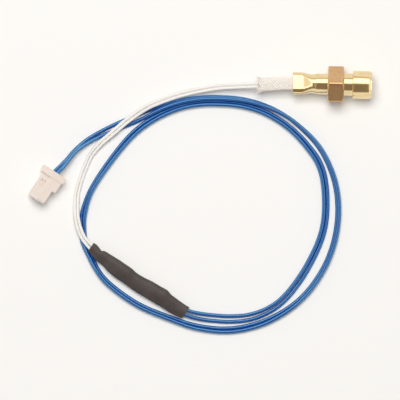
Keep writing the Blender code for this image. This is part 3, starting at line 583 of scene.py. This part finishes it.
def speckled(name, dark, light, scale, roughness, metallic=0.0):
    """A dull cast or drawn surface with fine speckle."""
    finish = new_finish(name, Metallic=metallic)
    speckle = finish.noise(finish.place(), scale, 3.0)
    finish.feed(
        Base_Color=finish.mixed(speckle * 1.6 - 0.3, dark, light),
        Roughness=speckle * 0.2 + (roughness - 0.1),
        Normal=finish.bump(speckle, 0.00001),
    )
    return finish.material


def dress(node, material):
    """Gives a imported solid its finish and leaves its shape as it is."""
    solids[node].data.materials.clear()
    solids[node].data.materials.append(material)


resin = speckled("potting_resin", (0.015, 0.015, 0.018), (0.045, 0.045, 0.05), 1500.0, 0.5)
bead = speckled("bead_coating", (0.03, 0.02, 0.018), (0.07, 0.05, 0.04), 2500.0, 0.35)
tinned = speckled("tinned_metal", (0.55, 0.55, 0.52), (0.78, 0.77, 0.74), 2200.0, 0.32, metallic=1.0)
clear = speckled("splice_tube", (0.66, 0.63, 0.57), (0.82, 0.80, 0.75), 900.0, 0.5)
dress("potting_plug", resin)
dress("thermistor_bead", bead)
for number in (1, 2):
    dress(f"thermistor_leg_{number}", tinned)
    dress(f"splice_ferrule_{number}", tinned)
    dress(f"contact_{number}", tinned)
    dress(f"splice_sleeve_{number}", clear)

# Woven sleeve. A short length of glass-fibre braid over both leads, nipped in the crimped mouth. Its free
# end is cut plain, so the threads there stand proud and a few have worked loose.
# X, Y and Z of its middle, half of its width and thickness, and its share of the crimp's roll
SLEEVE = [
    (-0.0263, -0.00095, AXIS_HEIGHT - 0.0009, 0.0026, 0.0018, 0.4),
    (-0.0250, -0.0008, AXIS_HEIGHT - 0.0008, 0.0025, 0.0017, 0.5),
    (-0.0200, -0.0003, AXIS_HEIGHT - 0.0003, 0.00245, 0.00155, 0.8),
    (-0.0160, -0.00005, AXIS_HEIGHT - 0.00005, 0.0024, 0.0013, 1.0),
    (-0.0141, 0.0, AXIS_HEIGHT, 0.0024, 0.0010, 1.0),
    (-0.0105, 0.0, AXIS_HEIGHT, 0.0024, 0.0010, 0.94),
    (-0.0075, 0.0, AXIS_HEIGHT, 0.0020, 0.0013, 0.25),
]
LINER_DEPTH = 0.00024
LINER_WALL = 0.00006
LINER_SIDES = 48
THREAD = 0.00013
THREAD_DEPTH = 0.00014
THREAD_POINTS = 100
WEAVE_HEIGHT = 0.00009
PLAITS = 12
THREADS_IN_PLAIT = 4
PLAIT_SHARE = 0.72
PLAIT_RISE = 0.0125
CUT_LENGTHS = (-0.0006, 0.0007)
FLARE_LENGTH = 0.0022
FLARE = 0.00022
LOOSE_THREADS = 26
LOOSE_POINTS = 9


def sleeve_point(x, turn, depth):
    """A point on the sleeve's oval section at x, sunk below its outside by the depth."""
    y, z, half_width, half_height, roll = between(SLEEVE, x)
    across = Vector(((half_width - depth) * math.cos(turn), (half_height - depth) * math.sin(turn)))
    across = Matrix.Rotation(-roll * CRIMP_ROLL, 2) @ across
    return Vector((x, y + across.x, z + across.y))


def glass_fibre(name, dark, light):
    """Matt glass thread with a little fuzz."""
    finish = new_finish(name, Sheen_Weight=0.2)
    fuzz = finish.noise(finish.place(), 1800.0, 3.0)
    finish.feed(
        Base_Color=finish.mixed(fuzz * 1.7 - 0.35, dark, light),
        Roughness=fuzz * 0.15 + 0.62,
        Normal=finish.bump(fuzz, 0.00003),
    )
    return finish.material


thread_glass = glass_fibre("glass_thread", (0.96, 0.88, 0.80), (0.99, 0.95, 0.885))
# The lining under the threads is the same glass, painted a darker brown as the shade inside the braid.
inner_glass_in_painted_shade = glass_fibre("glass_lining_painted_shade", (0.50, 0.41, 0.35), (0.66, 0.56, 0.49))
xs = [row[0] for row in smooth_table(SLEEVE, steps=4)]
turns = [2 * math.pi * i / LINER_SIDES for i in range(LINER_SIDES)]
rows = [[sleeve_point(x, turn, LINER_DEPTH) for turn in turns] for x in xs]
rows += [[sleeve_point(x, turn, LINER_DEPTH + LINER_WALL) for turn in turns] for x in reversed(xs)]
rows.append(rows[0])
shaded_liner = skin("woven_sleeve", rows, [row[0].x for row in rows], inner_glass_in_painted_shade, closed=False)
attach(shaded_liner, "root")
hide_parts("glass_fibre_sleeve")

braiding = bpy.data.curves.new("woven_sleeve_threads", "CURVE")
braiding.dimensions = "3D"
braiding.bevel_depth = THREAD / 2
braiding.bevel_resolution = 1
braiding.use_fill_caps = True
braiding.materials.append(thread_glass)
loose = random.Random(4)


def add_thread(points):
    spline = braiding.splines.new("POLY")
    spline.points.add(len(points) - 1)
    for control, point in zip(spline.points, points):
        control.co = (*point, 1)


# Two sets of plaits wind round the leads in opposite ways and wave in and out against each other. They read
# as woven, but where two plaits cross, their threads meet at about the same depth.
thread_turn = 2 * math.pi / PLAITS / THREADS_IN_PLAIT * PLAIT_SHARE
for way in (1, -1):
    for plait in range(PLAITS):
        for strand in range(THREADS_IN_PLAIT):
            aside = (strand - (THREADS_IN_PLAIT - 1) / 2) * thread_turn
            cut = SLEEVE[0][0] - loose.uniform(*CUT_LENGTHS)
            points = []
            for i in range(THREAD_POINTS):
                x = cut + (SLEEVE[-1][0] - cut) * i / (THREAD_POINTS - 1)
                turned = 2 * math.pi * (x - MOUTH_X) / PLAIT_RISE
                turn = 2 * math.pi * plait / PLAITS + way * turned + aside
                weave = way * math.sin(PLAITS * turned + math.pi * plait)
                flare = FLARE * max(0.0, 1 - (x - cut) / FLARE_LENGTH) ** 2
                depth = THREAD_DEPTH - WEAVE_HEIGHT * weave - flare
                points.append(sleeve_point(max(x, SLEEVE[0][0]), turn, depth))
                points[-1].x = x
            add_thread(points)

# A few threads at the cut end have worked loose
for i in range(LOOSE_THREADS):
    turn = loose.uniform(0, 2 * math.pi)
    point = sleeve_point(SLEEVE[0][0] + loose.uniform(0.0, 0.0012), turn, 0.0)
    outward = Vector((0, math.cos(turn), math.sin(turn)))
    heading = Vector((-1, 0, 0)) + outward * loose.uniform(0.1, 0.9)
    heading.y += loose.uniform(-0.5, 0.5)
    points = []
    for _ in range(LOOSE_POINTS):
        points.append(point.copy())
        heading = (heading + Vector([loose.uniform(-0.25, 0.25) for _ in range(3)])).normalized()
        point = point + heading * loose.uniform(0.00012, 0.00024)
    add_thread(points)

threads_piece = bpy.data.objects.new("woven_sleeve_threads", braiding)
bpy.context.scene.collection.objects.link(threads_piece)
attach(threads_piece, "root")

# Splice. A dark heat-shrink tube pulled down over two crimped joints, one behind the other, so that it
# swells twice and is drawn tight on the leads at both ends.
# How far along, how far to the left, half of its width and thickness, and the height of its middle
SHRINK = [
    (0.0, 0.0, 0.001875, 0.00125, 0.0026),
    (0.0018, -0.00025, 0.00205, 0.0013, 0.00255),
    (0.0036, -0.0008, 0.0020, 0.001325, 0.0025),
    (0.0042, -0.00078, 0.00207, 0.00135, 0.0025),
    (0.0049, -0.0006, 0.0023, 0.00142, 0.00245),
    (0.0072, -0.0006, 0.00245, 0.00175, 0.0022),
    (0.0093, -0.0008, 0.0028, 0.00205, 0.0021),
    (0.0125, -0.00095, 0.00305, 0.0021, 0.0021),
    (0.0165, -0.00095, 0.003025, 0.0021, 0.0021),
    (0.0186, -0.0011, 0.002925, 0.0020, 0.0021),
    (0.0222, -0.0010, 0.00305, 0.002025, 0.0021),
    (0.0250, -0.0007, 0.0032, 0.0021, 0.0021),
    (0.0286, -0.00045, 0.0032, 0.0021, 0.0021),
    (0.0314, -0.0002, 0.00315, 0.002075, 0.0021),
    (0.0332, -0.0004, 0.002875, 0.00175, 0.0021),
    (0.0360, -0.0004, 0.002775, 0.00155, 0.0021),
    (0.0393, -0.00025, 0.0026, 0.0015, 0.00205),
    (0.0412, 0.00015, 0.00235, 0.00145, 0.0020),
]
SHRINK_WALL = 0.00045
SHRINK_LIP = 0.0001
SHRINK_SIDES = 72
SQUARENESS = 2.4
CREASE = 0.00007
CREASE_DEPTH = 0.00005
CREASES_ALONG = 260
CREASES_ROUND = 1.6


def shrink_ring(row, inset, end=0.0):
    """A squarish ring of the shrunk tube, with soft creases that run along it."""
    along, side, half_width, half_height, height = row
    found = []
    for i in range(SHRINK_SIDES):
        turn = 2 * math.pi * i / SHRINK_SIDES
        across, up = math.cos(turn), math.sin(turn)
        reach = (abs(across) ** SQUARENESS + abs(up) ** SQUARENESS) ** (-1 / SQUARENESS)
        spot = Vector((along * CREASES_ALONG, across * CREASES_ROUND, up * CREASES_ROUND))
        crease = noise.noise(spot) * CREASE - CREASE_DEPTH
        wide = half_width - inset - end + crease
        high = half_height - inset - end + crease
        found.append(SPLICE_FRAME @ Vector((along, side + wide * across * reach, height + high * up * reach)))
    return found


def heat_shrink():
    """Satin shrunk plastic, slightly cloudy and rippled."""
    finish = new_finish("heat_shrink")
    cloudy = finish.noise(finish.place(), 210.0, 4.0)
    fine = finish.noise(finish.place(), 2600.0, 3.0)
    finish.feed(
        Base_Color=finish.mixed(cloudy * 1.8 - 0.4, (0.034, 0.026, 0.024), (0.068, 0.054, 0.049)),
        Roughness=fine * 0.15 + 0.40,
        Normal=finish.bump(cloudy * 0.7 + fine * 0.3, 0.00006),
    )
    return finish.material


table = smooth_table(SHRINK, steps=5)
rows = [shrink_ring(table[0], SHRINK_WALL - SHRINK_LIP)]
rows += [shrink_ring(table[0], 0.0, SHRINK_LIP)] + [shrink_ring(row, 0.0) for row in table[1:-1]]
rows += [shrink_ring(table[-1], 0.0, SHRINK_LIP), shrink_ring(table[-1], SHRINK_WALL - SHRINK_LIP)]
rows += [shrink_ring(row, SHRINK_WALL) for row in reversed(table[1:-1])]
rows.append(rows[0])
tube = skin("shrunk_tube", rows, [row[0].x for row in rows], heat_shrink(), closed=False)
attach(tube, "root")
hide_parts("heat_shrink_tube")

# Connector. A small two-way housing moulded in ivory nylon, tipped on the edge of its flange, with a
# latching window over each contact.


def ivory_nylon():
    """Satin moulded plastic, a little cloudy, with a fine grain from its mould."""
    finish = new_finish("ivory_nylon")
    cloud = finish.noise(finish.place(), 220.0, 3.0)
    grain = finish.noise(finish.place(), 4200.0)
    finish.feed(
        Base_Color=finish.mixed(cloud * 1.6 - 0.3, (0.90, 0.77, 0.68), (0.95, 0.83, 0.75)),
        Roughness=grain * 0.15 + 0.32,
        Normal=finish.bump(grain, 0.000012),
    )
    return finish.material


dress("connector_housing", ivory_nylon())

# Table and light. A pale sheet, one soft light above it to the north, and a plain bright room that the brass
# and the leads mirror, with a darker patch overhead and to the south and a narrow one low in the north.
FLOOR_SIZE = 1.6
FLOOR_DROP = 0.00005
FLOOR_GLOW = 0.08
KEY_TILT = math.radians(15)
KEY_TURN = math.radians(12)
KEY_DISTANCE = 1.5
KEY_SIDE = 0.68
KEY_POWER = 18.6
SURROUND = 0.27

half = FLOOR_SIZE / 2
corners = [(-half, -half, 0), (half, -half, 0), (half, half, 0), (-half, half, 0)]
floor_mesh = bpy.data.meshes.new("floor")
floor_mesh.from_pydata(corners, [], [(0, 1, 2, 3)])
floor = bpy.data.objects.new("floor", floor_mesh)
bpy.context.scene.collection.objects.link(floor)
floor.location = (*VIEW_MIDDLE, -FLOOR_DROP)


def pale_sheet():
    """Paper that glows a little where the camera sees it, either straight or mirrored in the part."""
    finish = new_finish("pale_sheet", Roughness=0.9, Specular_IOR_Level=0.0, Emission_Strength=1.0)
    seen = finish.maths("MAXIMUM", finish.ray("Camera"), finish.ray("Glossy"))
    fibre = finish.noise(finish.place(), 900.0, 3.0)
    finish.feed(
        Base_Color=finish.mixed(fibre, (0.85, 0.835, 0.805), (0.87, 0.855, 0.825)),
        Emission_Color=finish.mixed(seen, (0.0, 0.0, 0.0), (FLOOR_GLOW, FLOOR_GLOW, FLOOR_GLOW)),
    )
    return finish.material


floor_mesh.materials.append(pale_sheet())

toward_key = Euler((-KEY_TILT, 0, KEY_TURN)).to_matrix() @ Vector((0, 0, 1))
key = bpy.data.objects.new("key_light", bpy.data.lights.new("key_light", "AREA"))
bpy.context.scene.collection.objects.link(key)
key.location = Vector((*VIEW_MIDDLE, 0)) + toward_key * KEY_DISTANCE
key.rotation_euler = toward_key.to_track_quat("Z", "Y").to_euler()
key.visible_glossy = False
key.data.shape = "RECTANGLE"
key.data.size = KEY_SIDE
key.data.size_y = KEY_SIDE
key.data.energy = KEY_POWER

world = bpy.data.worlds.new("surround")
bpy.context.scene.world = world
world.use_nodes = True
surround = Finish(world.node_tree, "Background", {"Strength": 1.0})
direction = surround.place("Generated")
east, north, up = [surround.axis(direction, axis) for axis in "XYZ"]
tilt = surround.maths("ARCTAN2", north, up)
sideways = surround.maths("ABSOLUTE", east)


def patch(start, end, soft, half_width, soft_side=0.08):
    """1 on a soft-edged patch of the room, between two tilts from straight up, in degrees to the north."""
    start, end, soft = math.radians(start), math.radians(end), math.radians(soft)
    after_start = surround.ramp(tilt, start - soft, start + soft)
    after_end = surround.ramp(tilt, end - soft, end + soft)
    beside = surround.ramp(sideways, half_width - soft_side, half_width + soft_side)
    return after_start * (1 - after_end) * (1 - beside)


ceiling = surround.ramp(up, 0.58, 0.66) * (1 - surround.ramp(sideways, 0.54, 0.68))
mirrored = surround.mixed(ceiling, (1.04, 1.0, 0.94), (2.2, 2.14, 2.02))
mirrored = surround.mixed(patch(-66, 11, 5, 0.46), mirrored, (0.26, 0.21, 0.16))
mirrored = surround.mixed(patch(63.5, 70, 1.5, 0.9), mirrored, (0.30, 0.24, 0.17))
level = [SURROUND * value for value in (1.0, 0.98, 0.95)]
lit = surround.mixed(surround.ray("Glossy"), level, mirrored)
surround.feed(Color=surround.mixed(surround.ray("Camera"), lit, (1.0, 1.0, 1.0)))

bpy.context.scene.view_settings.view_transform = "Standard"
